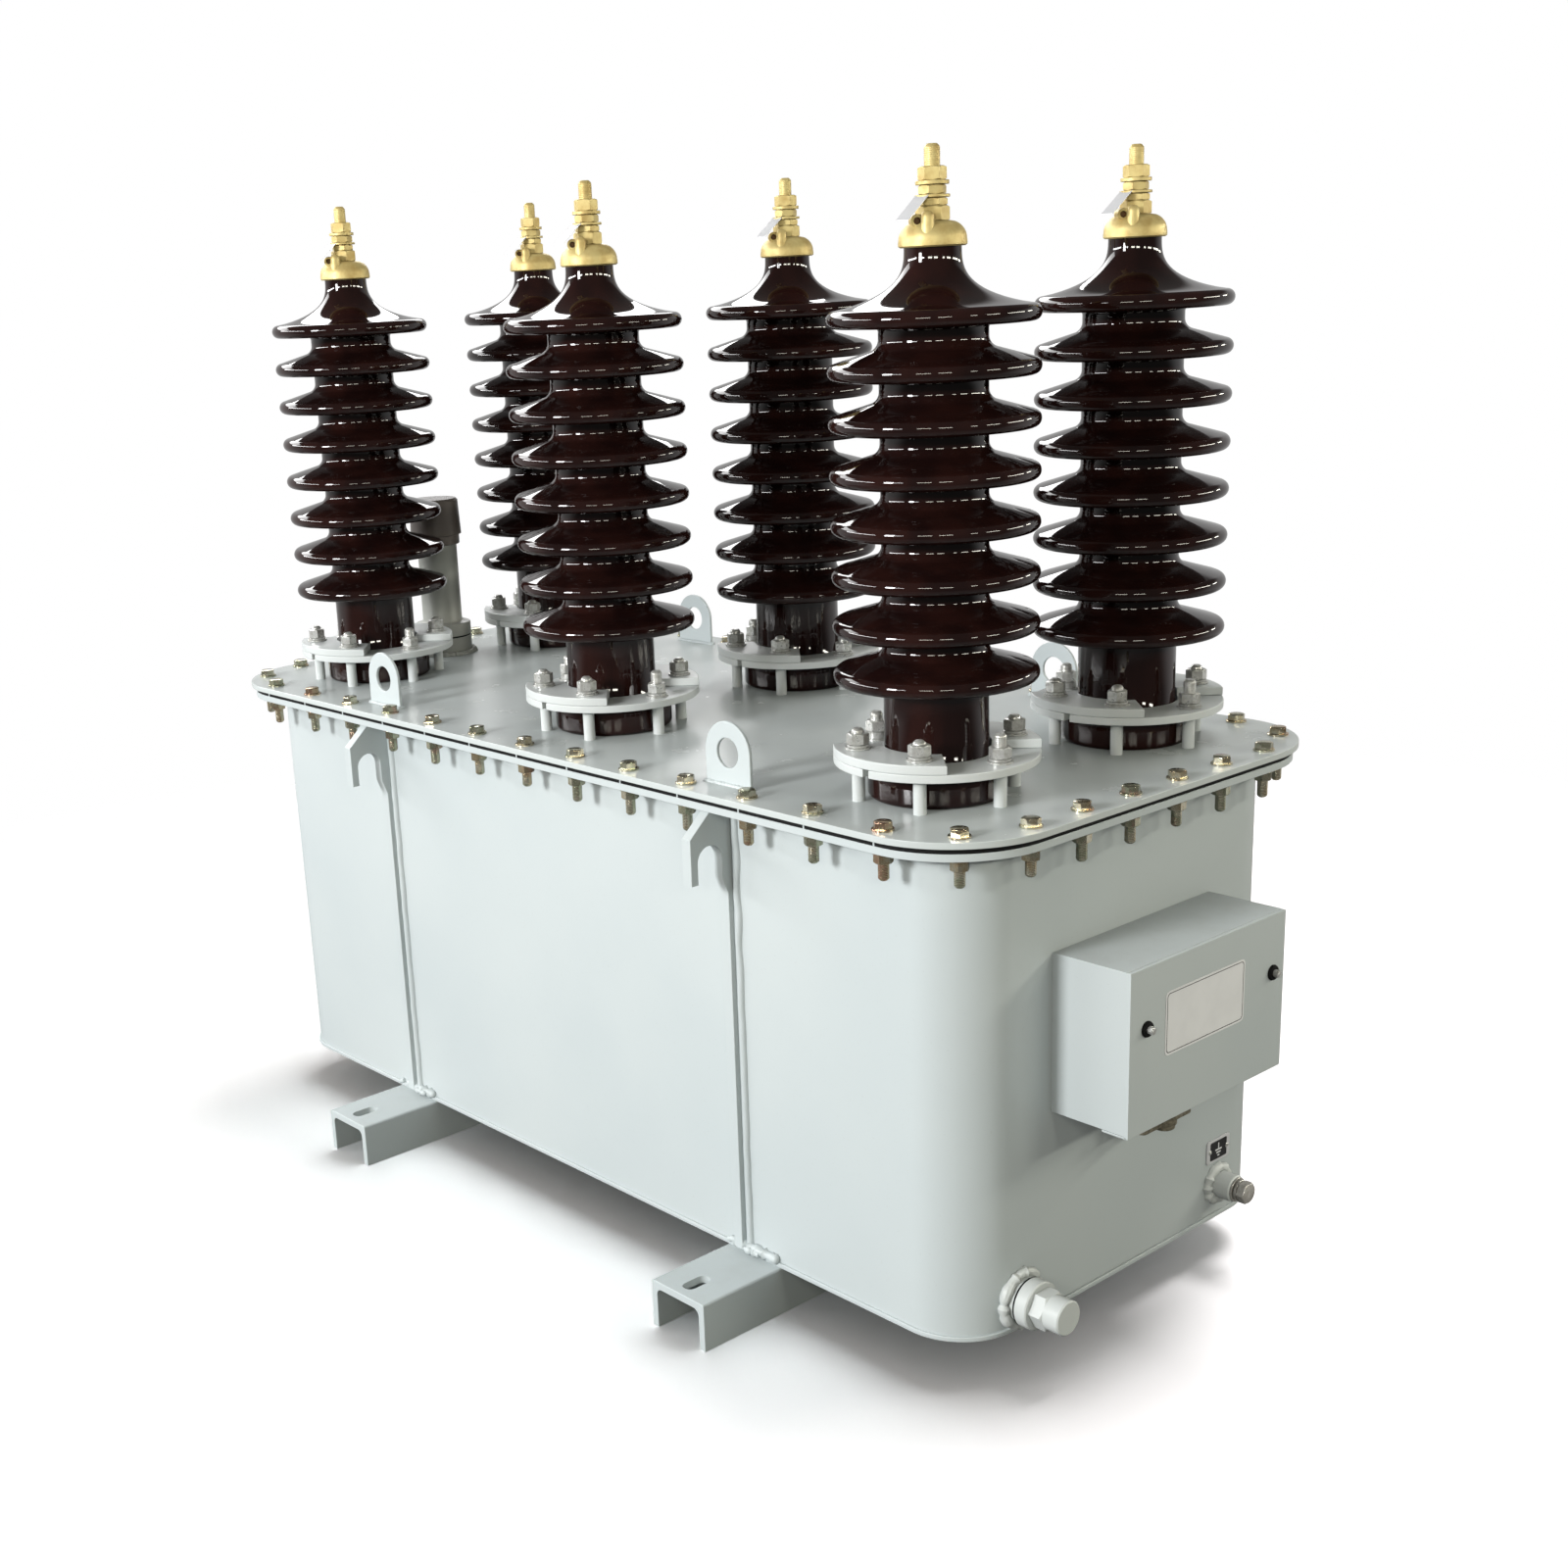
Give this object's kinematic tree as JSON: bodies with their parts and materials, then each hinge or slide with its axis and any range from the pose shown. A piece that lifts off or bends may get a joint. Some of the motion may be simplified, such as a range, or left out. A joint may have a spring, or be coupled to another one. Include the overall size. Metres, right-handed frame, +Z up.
{
  "type": "outdoor combined metering transformer",
  "caption": "Rectangular oil-filled tank on channel rails, with a bolted lid, upright shed insulators in two rows and a side terminal box.",
  "frame": {"origin": "middle of the tank at ground level, between the four holding-down slots", "axes": "+X along the tank towards the terminal box, -Y towards the front long wall, +Z up"},
  "size_m": [1.508, 0.81, 1.2946],
  "materials": {
    "tank_paint": "light grey enamel, semi-gloss, over welded steel plate",
    "lid_paint": "light grey enamel, glossier than the tank's walls",
    "black_rubber": "matt black oil-proof rubber",
    "glazed_porcelain": "very dark brown glaze, high gloss",
    "zinc_plate": "pale zinc plating, satin",
    "brass": "pale cast and turned brass, matt",
    "gland_alloy": "dark grey cast alloy, dull",
    "dark_steel": "stainless steel, dark in reflection",
    "label_metal": "thin metal plate, black field with a plain earthing symbol"
  },
  "bodies": {
    "root": {"tank_body": "tank_paint", "tank_flange": "tank_paint", "lid_gasket": "black_rubber", "lid_plate": "lid_paint", "rail_left": "tank_paint", "rail_right": "tank_paint", "hook_front_left": "tank_paint", "hook_front_right": "tank_paint", "hook_rear_left": "tank_paint", "hook_rear_right": "tank_paint", "lug_front_left": "lid_paint", "lug_front_right": "lid_paint", "lug_rear_left": "lid_paint", "lug_rear_right": "lid_paint", "bushing_front_left": "glazed_porcelain", "bushing_front_middle": "glazed_porcelain", "bushing_front_right": "glazed_porcelain", "bushing_rear_left": "glazed_porcelain", "bushing_rear_middle": "glazed_porcelain", "bushing_rear_right": "glazed_porcelain", "clamp_front_left": "zinc_plate", "clamp_front_middle": "zinc_plate", "clamp_front_right": "zinc_plate", "clamp_rear_left": "zinc_plate", "clamp_rear_middle": "zinc_plate", "clamp_rear_right": "zinc_plate", "clamp_bridges": "zinc_plate", "clamp_studs": "zinc_plate", "terminal_front_left": "brass", "terminal_front_middle": "brass", "terminal_front_right": "brass", "terminal_rear_left": "brass", "terminal_rear_middle": "brass", "terminal_rear_right": "brass", "terminal_box": "tank_paint", "box_cover": "tank_paint", "cable_gland": "gland_alloy", "drain_boss": "tank_paint", "drain_plug": "tank_paint", "earth_boss": "tank_paint", "earth_bolt": "dark_steel", "earth_plate": "label_metal", "filler_neck": "lid_paint", "filler_tube": "lid_paint", "filler_cap": "lid_paint"}
  },
  "joints": []
}
